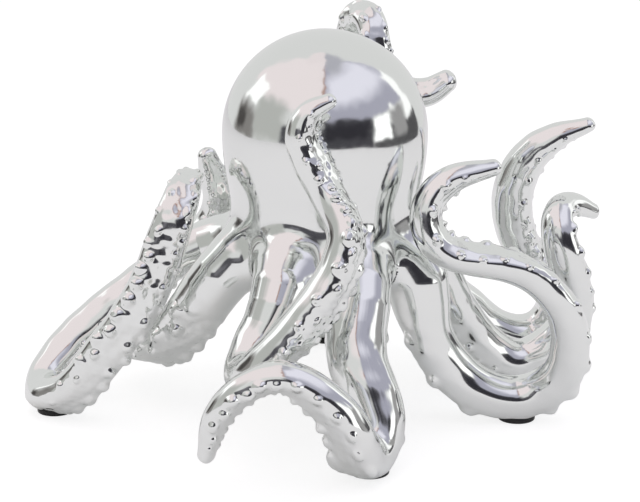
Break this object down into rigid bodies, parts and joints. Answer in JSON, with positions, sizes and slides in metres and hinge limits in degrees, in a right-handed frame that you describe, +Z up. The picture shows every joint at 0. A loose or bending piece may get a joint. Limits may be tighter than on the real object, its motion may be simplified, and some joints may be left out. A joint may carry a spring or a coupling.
{
  "type": "octopus figurine",
  "caption": "Free-standing mirror-plated octopus ornament: a smooth ball mantle on a hub that carries curling, tapering arms, some resting on small rubber pads.",
  "frame": {"origin": "middle of the figure's box in X and Y, on the table that the pads stand on", "axes": "+X to the viewer's right along the widest spread of the arms, +Y to the back, +Z up"},
  "size_m": [0.2882, 0.2462, 0.1913],
  "materials": {
    "plating": "mirror-bright plating on a smooth cast",
    "pin_steel": "plain turned steel, hidden in the joints",
    "pad_rubber": "matt black rubber"
  },
  "bodies": {
    "root": {"body": "plating", "mantle": "plating", "joint_pins": "pin_steel", "arm_front": "plating", "arm_right_front": "plating", "arm_right": "plating", "arm_right_back": "plating", "arm_back": "plating", "arm_left_back": "plating", "arm_left": "plating", "arm_front_left": "plating", "pad_front": "pad_rubber", "pad_right_front": "pad_rubber", "pad_right": "pad_rubber", "pad_right_back": "pad_rubber", "pad_back": "pad_rubber", "pad_left_back": "pad_rubber"}
  },
  "joints": []
}
